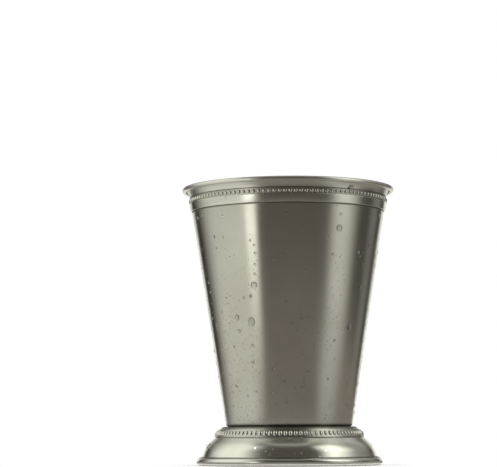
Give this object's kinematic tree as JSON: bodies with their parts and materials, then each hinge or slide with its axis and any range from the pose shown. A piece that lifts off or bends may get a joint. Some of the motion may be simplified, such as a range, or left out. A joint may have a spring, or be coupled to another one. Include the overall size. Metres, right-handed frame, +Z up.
{
  "type": "julep cup",
  "caption": "Tapered sheet metal drinking cup on a hollow spun foot, with a curled lip, a plain rim band and beaded wire at the rim and the foot.",
  "frame": {"origin": "on the cup's axis, in the plane that the foot's rim wire stands on", "axes": "+Z up along the cup's axis; the cup is round, so X and Y are free"},
  "size_m": [0.0882, 0.0882, 0.115],
  "materials": {
    "satin_metal": "satin, brushed around the cup",
    "polished_metal": "soft polish, brushed around the cup",
    "beaded_metal": "soft polish, darkened between the beads",
    "solder": "dull, cast"
  },
  "bodies": {
    "root": {"cup_wall": "satin_metal", "cup_floor": "satin_metal", "rim_band": "polished_metal", "rim_beading": "beaded_metal", "foot_skirt": "polished_metal", "foot_beading": "beaded_metal", "foot_rim_wire": "polished_metal", "floor_solder": "solder", "foot_solder": "solder", "wire_solder": "solder"}
  },
  "joints": []
}
